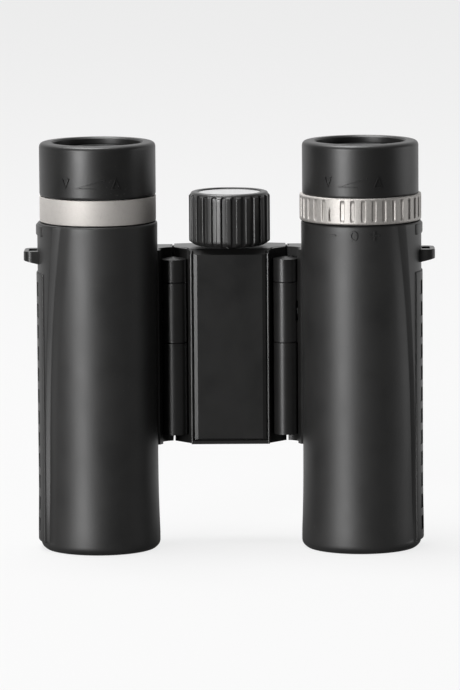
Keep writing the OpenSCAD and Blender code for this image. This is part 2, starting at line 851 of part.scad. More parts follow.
bridge_frame();
front_cover();
back_plate();
cover_screws();
focus_bush();
upper_hinge_pins();
lower_hinge_bushes();
hinge_washers();
wheel_hub();
wheel_grip();
wheel_disc();
focus_screw();
screw_clip();
focus_carriage();
push_rods();
diopter_ring();
on_side("left") color(satin_silver) trim_ring();  // left_trim_ring
for (side = ["left", "right"]) {
  on_side(side) color(shell_black) housing();
  on_side(side) color(rubber_black) armour();
  on_side(side) color(metal_black) side_grip();
  on_side(side) color(shell_black) strap_lug();
  on_side(side) color(metal_black) objective_ring();
  on_side(side) color(glass_tint) objective_crown();
  on_side(side) color(glass_tint) objective_flint();
  on_side(side) color(rubber_black) objective_seal();
  on_side(side) color(metal_black) prism_cage();
  on_side(side) color(glass_tint) roof_prism();
  on_side(side) color(glass_tint) half_penta_prism();
  on_side(side) color(metal_black) eyepiece_sleeve();
  on_side(side) color(metal_black) ocular_cell();
  on_side(side) color(glass_tint) field_lens();
  on_side(side) color(glass_tint) eye_lens();
  on_side(side) color(brass) focus_cell();
  on_side(side) color(glass_tint) focus_lens();
  on_side(side) color(metal_black) eyecup_core();
  on_side(side) color(rubber_black) eyecup_rubber();
  on_side(side) color(steel) eyecup_slide_ring();
}
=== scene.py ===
"""Compact folding binoculars: the looks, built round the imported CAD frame.

Every length is in metres, in the row frame: +Z up the optical axes, -Y towards the viewer.
"""

import json
import math

import bmesh
import bpy
from mathutils import Matrix, Vector


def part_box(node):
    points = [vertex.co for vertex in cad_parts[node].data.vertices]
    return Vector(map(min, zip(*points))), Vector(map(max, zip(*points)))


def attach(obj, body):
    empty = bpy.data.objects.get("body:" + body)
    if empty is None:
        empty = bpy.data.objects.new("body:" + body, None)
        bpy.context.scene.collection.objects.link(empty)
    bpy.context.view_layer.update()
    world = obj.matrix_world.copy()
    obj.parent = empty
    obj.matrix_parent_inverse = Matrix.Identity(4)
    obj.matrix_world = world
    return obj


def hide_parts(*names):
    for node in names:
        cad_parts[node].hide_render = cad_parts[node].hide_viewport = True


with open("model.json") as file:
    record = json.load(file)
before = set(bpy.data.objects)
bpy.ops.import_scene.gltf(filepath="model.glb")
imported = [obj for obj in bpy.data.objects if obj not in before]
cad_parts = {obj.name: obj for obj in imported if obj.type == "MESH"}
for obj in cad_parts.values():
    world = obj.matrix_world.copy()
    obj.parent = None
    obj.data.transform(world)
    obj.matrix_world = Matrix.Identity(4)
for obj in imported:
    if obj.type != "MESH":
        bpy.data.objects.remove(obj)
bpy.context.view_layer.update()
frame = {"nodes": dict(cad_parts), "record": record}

MM = 0.001
SIDES = {"left": -1, "right": 1}
SHARP_ANGLE = math.radians(35)
RIB_SHARP_ANGLE = math.radians(52)
SEGMENTS = 192             # columns round a plain ring
MERGE_DISTANCE = 1e-7


# ---------------------------------------------------------------- places read from the frame


def middle(node):
    """Centre of a CAD node's box."""
    low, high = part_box(node)
    return (low + high) / 2


def radius_of(node):
    """Half the width of a round CAD node."""
    low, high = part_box(node)
    return (high.x - low.x) / 2


def span_z(node):
    """Lowest and highest z of a CAD node."""
    low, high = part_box(node)
    return low.z, high.z


# ---------------------------------------------------------------- shader nodes


def add_node(tree, kind, **values):
    """New node with its plain inputs set by name."""
    node = tree.nodes.new(kind)
    for name, value in values.items():
        node.inputs[name.replace("_", " ")].default_value = value
    return node


def remap(tree, source, span, result=(0.0, 1.0)):
    """Straight-line map of a value from one span to another, held at both ends."""
    step = tree.nodes.new("ShaderNodeMapRange")
    step.inputs["From Min"].default_value, step.inputs["From Max"].default_value = span
    step.inputs["To Min"].default_value, step.inputs["To Max"].default_value = result
    tree.links.new(source, step.inputs["Value"])
    return step.outputs["Result"]


def calculate(tree, operation, *terms):
    """Math node on outputs of other nodes and plain numbers."""
    node = tree.nodes.new("ShaderNodeMath")
    node.operation = operation
    for socket, term in zip(node.inputs, terms):
        if isinstance(term, bpy.types.NodeSocket):
            tree.links.new(term, socket)
        else:
            socket.default_value = term
    return node.outputs[0]


def noise(tree, place, scale, detail, roughness):
    """Level of a noise texture at a place."""
    texture = add_node(tree, "ShaderNodeTexNoise", Scale=scale, Detail=detail, Roughness=roughness)
    tree.links.new(place, texture.inputs["Vector"])
    return texture.outputs["Fac"]


# ---------------------------------------------------------------- camera, floor and light

AIM = Vector((0.0, -0.002, 0.0575))
CAMERA_LENS = 293.4
CAMERA_SENSOR = 36.0
CAMERA_YAW = math.radians(-0.588)
CAMERA_PITCH = math.radians(7.762)
CAMERA_ROLL = math.radians(-0.413)
CAMERA_PLACE = Vector((0.01616, -1.57752, 0.27229))

BACKGROUND = 0.871
FRONT_GLOW = 0.06
SIDE_GLOW = 0.16
BACK_GLOW = 0.9
FLOOR_HALF = 12.0
FLOOR_SEEN = 0.8
FLOOR_GREY = 0.07
FLOOR_GLOW_REACH = 0.16    # how far in front of and behind the object the floor's glow changes

# (name, width and height, place, power in watts)
SOFTBOXES = [
    ("key", (0.42, 0.6), (-0.93, -1.36, 0.16), 44),
    ("fill", (0.9, 0.4), (1.5, 0.1, 0.2), 4.0),
    ("top", (1.0, 0.8), (-0.3, 0.1, 1.5), 48),
]


def set_look():
    """Plain colour handling, so that white is white."""
    bpy.context.scene.view_settings.view_transform = "Standard"
    bpy.context.scene.view_settings.look = "None"


def make_camera():
    """Long lens, a little above the object and turned a little to its left."""
    forward = Vector((
        math.sin(CAMERA_YAW) * math.cos(CAMERA_PITCH),
        math.cos(CAMERA_YAW) * math.cos(CAMERA_PITCH),
        -math.sin(CAMERA_PITCH),
    ))
    level = Vector((math.cos(CAMERA_YAW), -math.sin(CAMERA_YAW), 0))
    up = level.cross(forward)
    right = level * math.cos(CAMERA_ROLL) + up * math.sin(CAMERA_ROLL)
    up = right.cross(forward)
    data = bpy.data.cameras.new("camera")
    data.lens = CAMERA_LENS
    data.sensor_width = CAMERA_SENSOR
    data.clip_start = 0.1
    data.clip_end = 30
    camera = bpy.data.objects.new("camera", data)
    bpy.context.scene.collection.objects.link(camera)
    turn = Matrix((right, up, -forward)).transposed().to_4x4()
    camera.matrix_world = Matrix.Translation(CAMERA_PLACE) @ turn
    bpy.context.scene.camera = camera


def softbox(name, size, place, power):
    """Rectangular lamp at a place, facing the object."""
    data = bpy.data.lights.new(name, "AREA")
    data.shape = "RECTANGLE"
    data.size, data.size_y = size
    data.energy = power
    lamp = bpy.data.objects.new(name, data)
    bpy.context.scene.collection.objects.link(lamp)
    lamp.location = place
    lamp.rotation_mode = "QUATERNION"
    lamp.rotation_quaternion = (AIM - Vector(place)).to_track_quat("-Z", "Y")
    lamp.visible_camera = False


def glow_along_y(tree, place, reach):
    """Ramp of light levels along Y, dim in front of the object and bright behind it."""
    axes = tree.nodes.new("ShaderNodeSeparateXYZ")
    ramp = tree.nodes.new("ShaderNodeValToRGB")
    stops = [(0.0, FRONT_GLOW), (0.35, FRONT_GLOW), (0.6, SIDE_GLOW), (0.85, BACK_GLOW)]
    while len(ramp.color_ramp.elements) < len(stops):
        ramp.color_ramp.elements.new(0.5)
    for element, (position, value) in zip(ramp.color_ramp.elements, stops):
        element.position = position
        element.color = (value, value, value, 1)
    tree.links.new(place, axes.inputs[0])
    tree.links.new(remap(tree, axes.outputs["Y"], (-reach, reach)), ramp.inputs["Fac"])
    return ramp.outputs["Color"]


def light_or_eye(tree, light, eye):
    """One shader for the light that it sends to the object, and another for the eye."""
    path = tree.nodes.new("ShaderNodeLightPath")
    mix = tree.nodes.new("ShaderNodeMixShader")
    tree.links.new(path.outputs["Is Camera Ray"], mix.inputs["Fac"])
    tree.links.new(light.outputs[0], mix.inputs[1])
    tree.links.new(eye.outputs[0], mix.inputs[2])
    return mix.outputs[0]


def make_world():
    """White backdrop for the eye; for reflections it is bright behind the object and dim in front."""
    world = bpy.data.worlds.new("studio")
    bpy.context.scene.world = world
    world.use_nodes = True
    tree = world.node_tree
    tree.nodes.clear()
    place = tree.nodes.new("ShaderNodeTexCoord")
    light = tree.nodes.new("ShaderNodeBackground")
    eye = add_node(tree, "ShaderNodeBackground", Color=(BACKGROUND, BACKGROUND, BACKGROUND, 1))
    out = tree.nodes.new("ShaderNodeOutputWorld")
    tree.links.new(glow_along_y(tree, place.outputs["Generated"], 1), light.inputs["Color"])
    tree.links.new(light_or_eye(tree, light, eye), out.inputs["Surface"])


def make_floor():
    """Plain pale table lit evenly for the eye, with a faint contact shadow."""
    mesh = bpy.data.meshes.new("floor")
    corners = [(x * FLOOR_HALF, y * FLOOR_HALF, 0) for x, y in ((-1, -1), (1, -1), (1, 1), (-1, 1))]
    mesh.from_pydata(corners, [], [(0, 1, 2, 3)])
    floor = bpy.data.objects.new("floor", mesh)
    bpy.context.scene.collection.objects.link(floor)
    material = bpy.data.materials.new("floor_white")
    material.use_nodes = True
    tree = material.node_tree
    tree.nodes.clear()
    place = tree.nodes.new("ShaderNodeNewGeometry")
    light = tree.nodes.new("ShaderNodeEmission")
    eye = add_node(tree, "ShaderNodeEmission", Color=(1, 1, 1, 1), Strength=FLOOR_SEEN)
    matt = add_node(tree, "ShaderNodeBsdfDiffuse", Color=(FLOOR_GREY, FLOOR_GREY, FLOOR_GREY, 1))
    both = tree.nodes.new("ShaderNodeAddShader")
    out = tree.nodes.new("ShaderNodeOutputMaterial")
    tree.links.new(glow_along_y(tree, place.outputs["Position"], FLOOR_GLOW_REACH), light.inputs["Color"])
    tree.links.new(light_or_eye(tree, light, eye), both.inputs[0])
    tree.links.new(matt.outputs[0], both.inputs[1])
    tree.links.new(both.outputs[0], out.inputs["Surface"])
    mesh.materials.append(material)


def make_lights():
    """Key light from the front left, a weak fill on the right and a broad one above."""
    for box in SOFTBOXES:
        softbox(*box)


# ---------------------------------------------------------------- materials

FINE = 2100.0
FINE_SHARE = 0.35              # weight of the grain in the choice of shade
SPECK_SCALE, CLUSTER_SCALE = 1250.0, 55.0
DUST_SPECKS = (0.69, 0.77)     # noise levels between which a speck fades in
DUST_CLUSTERS = (0.56, 0.76)
PATCH_SPAN = (0.3, 0.7)        # noise levels between which the shades and the roughness change
PIN_LOW, PIN_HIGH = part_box("upper_hinge_pins")
PIN_R = (PIN_HIGH.y - PIN_LOW.y) / 2
HINGE = (PIN_HIGH.x - PIN_R, PIN_HIGH.y - PIN_R, 0)
HOLLOW_IN = (3.7 * MM, 3.8 * MM)      # where the hollow's round wall starts and ends, from the hinge axis
HOLLOW_OUT = (4.5 * MM, 4.3 * MM)
HOLLOW_FOOT = (81.6 * MM, 82.0 * MM)  # height at which it starts
HOLLOW_ROUGH = 0.65            # added to the paint's roughness there


def add_dust(tree, place, clean, amount):
    """Sparse pale specks, gathered in loose patches, over a clean colour."""
    specks = remap(tree, noise(tree, place, SPECK_SCALE, 1.0, 0.5), DUST_SPECKS)
    clusters = remap(tree, noise(tree, place, CLUSTER_SCALE, 2.0, 0.5), DUST_CLUSTERS)
    mix = add_node(tree, "ShaderNodeMixRGB", Color2=(amount, amount * 0.98, amount * 0.94, 1))
    tree.links.new(calculate(tree, "MULTIPLY", specks, clusters), mix.inputs["Fac"])
    tree.links.new(clean, mix.inputs["Color1"])
    return mix.outputs["Color"]


def hollow_mask(tree, place):
    """Mask, 0 to 1, of the round wall of the hollow above each top knuckle."""
    mirrored, flat, reach = (tree.nodes.new("ShaderNodeVectorMath") for _ in range(3))
    mirrored.operation, flat.operation, reach.operation = "ABSOLUTE", "MULTIPLY", "DISTANCE"
    flat.inputs[1].default_value = (1, 1, 0)
    reach.inputs[1].default_value = HINGE
    axes = tree.nodes.new("ShaderNodeSeparateXYZ")
    tree.links.new(place, mirrored.inputs[0])
    tree.links.new(mirrored.outputs["Vector"], flat.inputs[0])
    tree.links.new(flat.outputs["Vector"], reach.inputs[0])
    tree.links.new(place, axes.inputs["Vector"])
    past = remap(tree, reach.outputs["Value"], HOLLOW_IN)
    within = remap(tree, reach.outputs["Value"], HOLLOW_OUT)
    above = remap(tree, axes.outputs["Z"], HOLLOW_FOOT)
    return calculate(tree, "MULTIPLY", calculate(tree, "MULTIPLY", past, within), above)


def surface_material(name, dark, light, rough, grain=0.3, metallic=0.0, specular=0.5, patch=90.0,
                     grain_scale=FINE, grain_depth=0.02 * MM, dust=0.0, dull_hollow=False):
    """Two close shades in soft patches, roughness that drifts, and a fine grain in the surface."""
    material = bpy.data.materials.new(name)
    material.use_nodes = True
    tree = material.node_tree
    shader = tree.nodes["Principled BSDF"]
    shader.inputs["Metallic"].default_value = metallic
    shader.inputs["Specular IOR Level"].default_value = specular
    place = tree.nodes.new("ShaderNodeTexCoord").outputs["Object"]
    soft = noise(tree, place, patch, 3.0, 0.6)
    fine = noise(tree, place, grain_scale, 2.0, 0.6)
    tone = tree.nodes.new("ShaderNodeValToRGB")
    for element, position, colour in zip(tone.color_ramp.elements, PATCH_SPAN, (dark, light)):
        element.position = position
        element.color = (*colour, 1)
    tree.links.new(calculate(tree, "MULTIPLY_ADD", fine, FINE_SHARE, soft), tone.inputs["Fac"])
    colour = tone.outputs["Color"]
    if dust:
        colour = add_dust(tree, place, colour, dust)
    roughness = remap(tree, soft, PATCH_SPAN, rough)
    if dull_hollow:
        roughness = calculate(tree, "MULTIPLY_ADD", hollow_mask(tree, place), HOLLOW_ROUGH, roughness)
    bump = add_node(tree, "ShaderNodeBump", Strength=grain, Distance=grain_depth)
    tree.links.new(fine, bump.inputs["Height"])
    tree.links.new(colour, shader.inputs["Base Color"])
    tree.links.new(roughness, shader.inputs["Roughness"])
    tree.links.new(bump.outputs["Normal"], shader.inputs["Normal"])
    return material


def grey(value, warmth=0.0):
    """Grey with a touch of warmth."""
    return (value * (1 + warmth), value, value * (1 - warmth))


def glass_material(name, tint, sheen):
    """Clear coated glass: a tint in what passes and a coloured bloom at grazing angles."""
    material = bpy.data.materials.new(name)
    material.use_nodes = True
    tree = material.node_tree
    shader = tree.nodes["Principled BSDF"]
    for socket, value in GLASS.items():
        shader.inputs[socket].default_value = value
    facing = add_node(tree, "ShaderNodeLayerWeight", Blend=0.35)
    tone = tree.nodes.new("ShaderNodeValToRGB")
    tone.color_ramp.elements[0].color = (*tint, 1)
    tone.color_ramp.elements[1].color = (*sheen, 1)
    tree.links.new(facing.outputs["Facing"], tone.inputs["Fac"])
    tree.links.new(tone.outputs["Color"], shader.inputs["Base Color"])
    return material


GLASS = {
    "Transmission Weight": 1.0, "IOR": 1.5, "Roughness": 0.02, "Coat Weight": 0.5, "Coat Roughness": 0.03,
}

# name: (dark shade, light shade, least and most roughness), and what differs from a plain surface
SURFACES = {
    "painted_body": ((grey(0.005), grey(0.009, 0.02), (0.29, 0.35)),
                     {"grain": 0.5, "specular": 0.34, "grain_scale": 2400.0, "dull_hollow": True}),
    "armour_rubber": ((grey(0.006), grey(0.011, 0.02), (0.45, 0.51)), {"grain": 0.6, "dust": 0.03}),
    "grip_rubber": ((grey(0.009), grey(0.015, 0.02), (0.5, 0.56)), {"grain": 0.6}),
    "eyecup_rubber": ((grey(0.004), grey(0.008, 0.02), (0.4, 0.46)),
                      {"grain": 0.6, "specular": 0.38, "dust": 0.06}),
    "seal_rubber": ((grey(0.012), grey(0.02), (0.55, 0.65)), {}),
    "satin_aluminium": ((grey(0.34, 0.05), grey(0.39, 0.05), (0.6, 0.66)),
                        {"metallic": 0.55, "grain": 0.9, "patch": 900.0, "grain_depth": 0.045 * MM}),
    "knurled_aluminium": ((grey(0.25, 0.05), grey(0.35, 0.05), (0.48, 0.58)),
                          {"metallic": 0.68, "grain": 0.9, "patch": 1400.0, "grain_depth": 0.045 * MM}),
    "wheel_grip": ((grey(0.006), grey(0.012, 0.02), (0.36, 0.44)), {}),
    "wheel_disc": ((grey(0.28), grey(0.46), (0.45, 0.55)),
                   {"metallic": 1.0, "grain": 0.6, "patch": 2600.0, "grain_scale": 4200.0,
                    "grain_depth": 0.04 * MM}),
    "inner_plastic": ((grey(0.005), grey(0.01), (0.4, 0.5)), {"specular": 0.25}),
    "steel": ((grey(0.45), grey(0.6), (0.25, 0.4)), {"metallic": 1.0, "patch": 600.0}),
    "blackened_metal": ((grey(0.004), grey(0.007), (0.6, 0.7)), {"specular": 0.15, "patch": 600.0}),
    "brass": (((0.5, 0.36, 0.15), (0.68, 0.5, 0.22), (0.25, 0.4)), {"metallic": 1.0, "patch": 600.0}),
}

MATERIALS = {name: surface_material(name, *shades, **extra) for name, (shades, extra) in SURFACES.items()}
MATERIALS["coated_glass"] = glass_material("coated_glass", (0.82, 0.9, 0.86), (0.45, 0.3, 0.75))
MATERIALS["prism_glass"] = glass_material("prism_glass", (0.93, 0.96, 0.95), (0.9, 0.95, 0.95))


def dress_cad_nodes():
    """Gives every CAD node the material of its slot in the record."""
    for part in frame["record"]["subparts"]:
        node = frame["nodes"][part["node"]]
        node.data.materials.clear()
        node.data.materials.append(MATERIALS[part["material_slot"]])


# width of the rounded edges of the CAD nodes that are shown as they are, in mm
BEVELLED = {
    "bridge_frame": 0.12, "front_cover": 0.12, "left_housing": 0.3, "right_housing": 0.3,
    "left_strap_lug": 0.35, "right_strap_lug": 0.35, "wheel_disc": 0.15,
}
FLAT_ANGLE = math.radians(0.5)
BEVEL_ANGLE = math.radians(32)


def round_edges(node, width):
    """Softens a CAD node's hard edges with modifiers, without touching its mesh."""
    flat = node.modifiers.new("flat", "DECIMATE")
    flat.decimate_type = "DISSOLVE"
    flat.angle_limit = FLAT_ANGLE
    bevel = node.modifiers.new("bevel", "BEVEL")
    bevel.width = width
    bevel.segments = 2
    bevel.limit_method = "ANGLE"
    bevel.angle_limit = BEVEL_ANGLE
    bevel.use_clamp_overlap = False
    bevel.miter_outer = "MITER_ARC"
    bevel.harden_normals = True


# ---------------------------------------------------------------- mesh helpers


def new_piece(name, verts, faces, slot, body, replaced=()):
    """Smooth-shaded mesh piece with sharp edges kept, riding on a body."""
    mesh = bpy.data.meshes.new(name)
    mesh.from_pydata([tuple(v) for v in verts], [], faces)
    mesh.validate()
    shell = bmesh.new()
    shell.from_mesh(mesh)
    bmesh.ops.remove_doubles(shell, verts=shell.verts, dist=MERGE_DISTANCE)
    bmesh.ops.recalc_face_normals(shell, faces=shell.faces)
    shell.to_mesh(mesh)
    shell.free()
    mesh.polygons.foreach_set("use_smooth", [True] * len(mesh.polygons))
    mesh.set_sharp_from_angle(angle=SHARP_ANGLE)
    mesh.materials.append(MATERIALS[slot])
    piece = bpy.data.objects.new(name, mesh)
    bpy.context.scene.collection.objects.link(piece)
    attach(piece, body)
    if replaced:
        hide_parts(*replaced)
    return piece


NEARLY_STRAIGHT = math.radians(88)     # half the angle at a corner that needs no fillet
FILLET_REACH = 0.49                    # most of a side that a fillet may take up


def rounded(corners, steps=4):
    """Closed outline from (x, y, fillet radius) corners, each corner turned into a smooth curve."""
    outline = []
    count = len(corners)
    for i in range(count):
        x, y, fillet = corners[i]
        here = Vector((x, y))
        before = Vector(corners[i - 1][:2]) - here
        after = Vector(corners[(i + 1) % count][:2]) - here
        if fillet <= 0 or before.length < 1e-9 or after.length < 1e-9:
            outline.append(here)
            continue
        half = before.angle(after) / 2
        if half > NEARLY_STRAIGHT:
            outline.append(here)
            continue
        reach = min(fillet / math.tan(half), before.length * FILLET_REACH, after.length * FILLET_REACH)
        start = here + before.normalized() * reach
        end = here + after.normalized() * reach
        for k in range(steps + 1):
            t = k / steps
            outline.append(start * (1 - t) ** 2 + here * 2 * t * (1 - t) + end * t * t)
    return outline


def loft(rings, closed=True):
    """Vertices and quads between equal rings of points; closed joins the last ring to the first."""
    size = len(rings[0])
    verts = [p for ring in rings for p in ring]
    faces = []
    last = len(rings) if closed else len(rings) - 1
    for i in range(last):
        a, b = i * size, (i + 1) % len(rings) * size
        faces += [(a + k, a + (k + 1) % size, b + (k + 1) % size, b + k) for k in range(size)]
    return verts, faces


def revolve(outline, centre):
    """Closed ring of revolution of an outline of (radius, z) points about an upright axis."""
    rings = []
    for i in range(SEGMENTS):
        a = 2 * math.pi * i / SEGMENTS
        ring = [(centre.x + r * math.cos(a), centre.y + r * math.sin(a), z) for r, z in outline]
        rings.append([Vector(point) for point in ring])
    return loft(rings)


def around(centre, turn, radius, height):
    """Point about an upright axis; the turn is measured from the front, towards +X."""
    return Vector((centre.x + radius * math.sin(turn), centre.y - radius * math.cos(turn), height))


def blend_step(value):
    """Smooth step from 0 to 1."""
    value = min(max(value, 0.0), 1.0)
    return value * value * (3 - 2 * value)


# ---------------------------------------------------------------- armour

LAND_R = 17.15 * MM
CREST = (27.5, 13.5)       # degrees from the outward line at the low end, and how far it sweeps on
FOOT = (31.0, 19.2)        # the same for the foot of the ramp
SWEEP_Z = (15 * MM, 88 * MM)
ROUNDING = math.radians(0.3)
DIP = {"left": 0.28 * MM, "right": 0.12 * MM}   # hollow along the foot of the ramp
DIP_SPAN = math.radians(14)
LAND_COLUMNS, DIP_COLUMNS, BACK_COLUMNS = 12, 6, 40
STRIP_HALF = 27            # degrees from the outward line
STRIP_R = 17.5 * MM
STRIP_FOOT_R = 17.68 * MM
STRIP_FOOT_Z = (4.5 * MM, 14 * MM)     # height at which the foot starts to taper, and how far it does
STRIP_TURNS = (21, 12, 3)  # columns beside the edges and the pockets, in degrees
STRIP_DEPTH = 0.9 * MM     # how deep it is sunk in the land
STRIP_EDGE = (1.2, 0.25 * MM)   # how far its long sides are rounded, in degrees, and how far they drop
BUMP_EDGE = (4.5, 0.38 * MM)    # the same for the short bump above it
BUMP_Z = (89.4 * MM, 92.45 * MM)

# (height, radius, share of the raised land) up the outer wall of the armour and down its inner one, in mm
ARMOUR_WALL = [
    (0, 14.3, 0), (0, 15.2, 0), (0.06, 15.55, 0), (0.25, 15.85, 0), (0.6, 16.25, 0), (1.0, 16.57, 0),
    (1.4, 16.77, 0), (1.8, 16.86, 0), (2.35, 16.88, 0), (2.5, 16.88, 0.45), (2.8, 16.88, 0.9),
    (3.2, 16.88, 1), (5, 16.86, 1), (7.5, 16.77, 1), (10, 16.69, 1), (15, 16.56, 1), (20, 16.49, 1),
    (27, 16.46, 1), (34, 16.48, 1), (40, 16.5, 1), (46, 16.53, 1), (51, 16.55, 1), (56, 16.57, 1),
    (61, 16.6, 1), (66, 16.62, 1), (71, 16.65, 1), (76, 16.68, 1), (80, 16.7, 1), (84, 16.72, 1),
    (88, 16.74, 1), (91, 16.75, 1), (92.2, 16.75, 1), (92.55, 16.72, 0.9), (92.8, 16.6, 0.75),
    (92.95, 16.42, 0.6), (93, 16.2, 0.4), (93, 14.5, 0), (92.1, 14.5, 0), (92.1, 15.3, 0),
    (2.1, 15.3, 0), (2.1, 14.02, 0), (0.3, 14.02, 0), (0.08, 14.1, 0),
]


def barrel_axis(side):
    """Middle line of a barrel."""
    return middle(side + "_eyecup_rubber")


def armour_columns(height):
    """Half the armour's columns: angle from the outward line, share of the land, share of the dip."""
    rise = max(height - SWEEP_Z[0], 0) / (SWEEP_Z[1] - SWEEP_Z[0])
    crest = math.radians(CREST[0] + CREST[1] * rise ** 2)
    foot = math.radians(FOOT[0] + FOOT[1] * rise ** 2)
    slope = 1 / (foot - crest)
    columns = [(crest * k / LAND_COLUMNS, 1.0, 0.0) for k in range(LAND_COLUMNS)]
    columns += [(crest - ROUNDING, 1.0, 0.0), (crest, 1 - ROUNDING * slope / 4, 0.0)]
    columns += [(crest + t * (foot - crest), 1 - t, t) for t in (0.15, 0.5, 0.85)]
    columns += [(foot, ROUNDING * slope / 4, 1.0), (foot + ROUNDING, 0.0, 1.0)]
    start = foot + ROUNDING
    shares = [k / DIP_COLUMNS for k in range(1, DIP_COLUMNS + 1)]
    columns += [(start + DIP_SPAN * share, 0.0, 1 - blend_step(share)) for share in shares]
    start += DIP_SPAN
    rest = math.pi - start
    columns += [(start + rest * k / BACK_COLUMNS, 0.0, 0.0) for k in range(1, BACK_COLUMNS + 1)]
    return columns


def armour(side):
    """Rubber sleeve of a barrel, with the raised land that sweeps up its outer side."""
    centre = barrel_axis(side)
    out = SIDES[side]
    rows = [(z * MM, r * MM, share, armour_columns(z * MM)) for z, r, share in ARMOUR_WALL]
    half = len(rows[0][3])
    order = [(k, 1) for k in range(half)] + [(k, -1) for k in range(half - 2, 0, -1)]
    rings = []
    for k, way in order:
        ring = []
        for z, r, share, columns in rows:
            turn, land, dip = columns[k]
            radius = r + ((LAND_R - r) * land - DIP[side] * dip) * share
            ring.append(Vector((
                centre.x + out * radius * math.cos(turn), centre.y + way * radius * math.sin(turn), z)))
        rings.append(ring)
    verts, faces = loft(rings)
    new_piece(side + "_sleeve", verts, faces, "armour_rubber", side + "_barrel", [side + "_armour"])


POCKET_TURN = (7, 17)      # degrees from the outward line
POCKET_Z = (5.2 * MM, 3.9 * MM, 6.1 * MM)   # first height, length and pitch
POCKET_COUNT = 12
POCKET_FLOOR = 16.85 * MM
POCKET_WALL = (0.06, 0.04 * MM)   # half the width of a pocket's wall, in degrees and along the strip
END_STEPS = (0.0, 0.1 * MM, 0.25 * MM, 0.5 * MM)   # rows that round the strip's ends
END_DROP = 0.3 * MM
END_ROUNDING = 0.45 * MM


def strip_radius(height, low, high, foot_r):
    """Outer radius of a side strip, rounded at both ends."""
    taper = blend_step((height - STRIP_FOOT_Z[0]) / STRIP_FOOT_Z[1])
    body = STRIP_R + (foot_r - STRIP_R) * (1 - taper)
    ends = min(height - low, high - height, END_ROUNDING) / END_ROUNDING
    return body - END_DROP * (1 - math.sqrt(max(1 - (1 - ends) ** 2, 0)))


def side_strip(name, side, low, high, foot_r, edge, slot, pockets, replaced):
    """Raised strip down the outermost line of a barrel, with two rows of shallow pockets.

    The edge is how far its long sides are rounded, in degrees, and how far they drop.
    """
    centre = barrel_axis(side)
    out = SIDES[side]
    near, far = POCKET_TURN
    outer, between, inner = STRIP_TURNS
    wall, step = POCKET_WALL
    turns = [-STRIP_HALF + edge[0] * share for share in (0, 0.15, 0.5, 1)]
    turns += [-outer, -far - wall, -far + wall, -between, -near - wall, -near + wall, -inner, 0]
    turns += [-t for t in reversed(turns[:-1])]
    heights = [low + rise for rise in END_STEPS]
    first, length, pitch = POCKET_Z
    spans = [(first + k * pitch, first + k * pitch + length) for k in range(POCKET_COUNT if pockets else 0)]
    for start, end in spans:
        heights += [start - step, start + step, end - step, end + step]
    heights += [high - drop for drop in reversed(END_STEPS)]
    rings = []
    for turn in turns:
        inward = min(STRIP_HALF - abs(turn), edge[0]) / edge[0]
        dip = edge[1] * (1 - math.sqrt(max(1 - (1 - inward) ** 2, 0)))
        sunk = near <= abs(turn) <= far
        ring = []
        for z in heights:
            radius = strip_radius(z, low, high, foot_r) - dip
            if sunk and any(start <= z <= end for start, end in spans):
                radius = POCKET_FLOOR
            ring.append((radius, z))
        ring += [(LAND_R - STRIP_DEPTH, heights[-1]), (LAND_R - STRIP_DEPTH, heights[0])]
        angle = math.radians(turn)
        rings.append([Vector((
            centre.x + out * r * math.cos(angle), centre.y + r * math.sin(angle), z)) for r, z in ring])
    verts, faces = loft(rings, closed=False)
    size = len(rings[0])
    faces += [tuple(range(size)), tuple(range(len(verts) - size, len(verts)))]
    new_piece(name, verts, faces, slot, side + "_barrel", replaced)


# ---------------------------------------------------------------- eyepieces

TRIM_RING_WALL = 1.9 * MM
TRIM_RING_EDGE = 0.3 * MM
LIP_WIDTH = 3.75 * MM
LIP_ROUNDING = 1.5 * MM
CORE_GAP = 0.02 * MM       # keeps the rubber off the inner sleeve


def trim_ring():
    """Plain satin ring under the left eyecup."""
    low, high = span_z("left_trim_ring")
    outer = radius_of("left_trim_ring")
    inner = outer - TRIM_RING_WALL
    corners = [(inner, low, 0), (outer, low, TRIM_RING_EDGE), (outer, high, TRIM_RING_EDGE), (inner, high, 0)]
    verts, faces = revolve(rounded(corners), middle("left_trim_ring"))
    new_piece("trim_ring", verts, faces, "satin_aluminium", "left_barrel", ["left_trim_ring"])


def eyecup(side):
    """Twist-up rubber eyecup with a soft rolled lip."""
    node = side + "_eyecup_rubber"
    low, high = span_z(node)
    outer = radius_of(node)
    mouth = outer - LIP_WIDTH
    core = radius_of(side + "_eyecup_core") + CORE_GAP
    shelf = span_z(side + "_eyecup_core")[1] + CORE_GAP
    corners = [
        (core, low, 0), (outer - 0.1 * MM, low, 0.3 * MM), (outer, low + 0.6 * MM, 0.4 * MM),
        (outer, high - 0.1 * MM, LIP_ROUNDING), (mouth + 0.45 * MM, high, 0.3 * MM),
        (mouth, high - 0.5 * MM, 0.25 * MM), (mouth, shelf, 0), (core, shelf, 0),
    ]
    verts, faces = revolve(rounded(corners, 8), middle(node))
    new_piece(side + "_eyecup", verts, faces, "eyecup_rubber", side + "_eyecup", [node])


# ---------------------------------------------------------------- fluted rings

GROOVE_CORNER = (0.76, 0.22)   # share of a groove's half width, and of its depth, where its soft edge ends
GROOVE_FLOOR = 0.64            # share of its half width at which the wall meets the floor
GROOVE_HALF = (1.1, 1.0, GROOVE_CORNER[0], GROOVE_FLOOR, 0.3)  # where points lie across half a groove
GROOVE_STEPS = [-share for share in GROOVE_HALF] + sorted(GROOVE_HALF)
GROOVE_BOW = 0.35 * MM         # how much shorter a groove is along its sides
GROOVE_REACH = 0.999           # share of its half width beyond which a point is off the groove
WIDEST_STEP = math.radians(1.6)
NEAR_ENDS = (0.05 * MM, 0.15 * MM, 0.3 * MM, 0.5 * MM, 0.75 * MM)


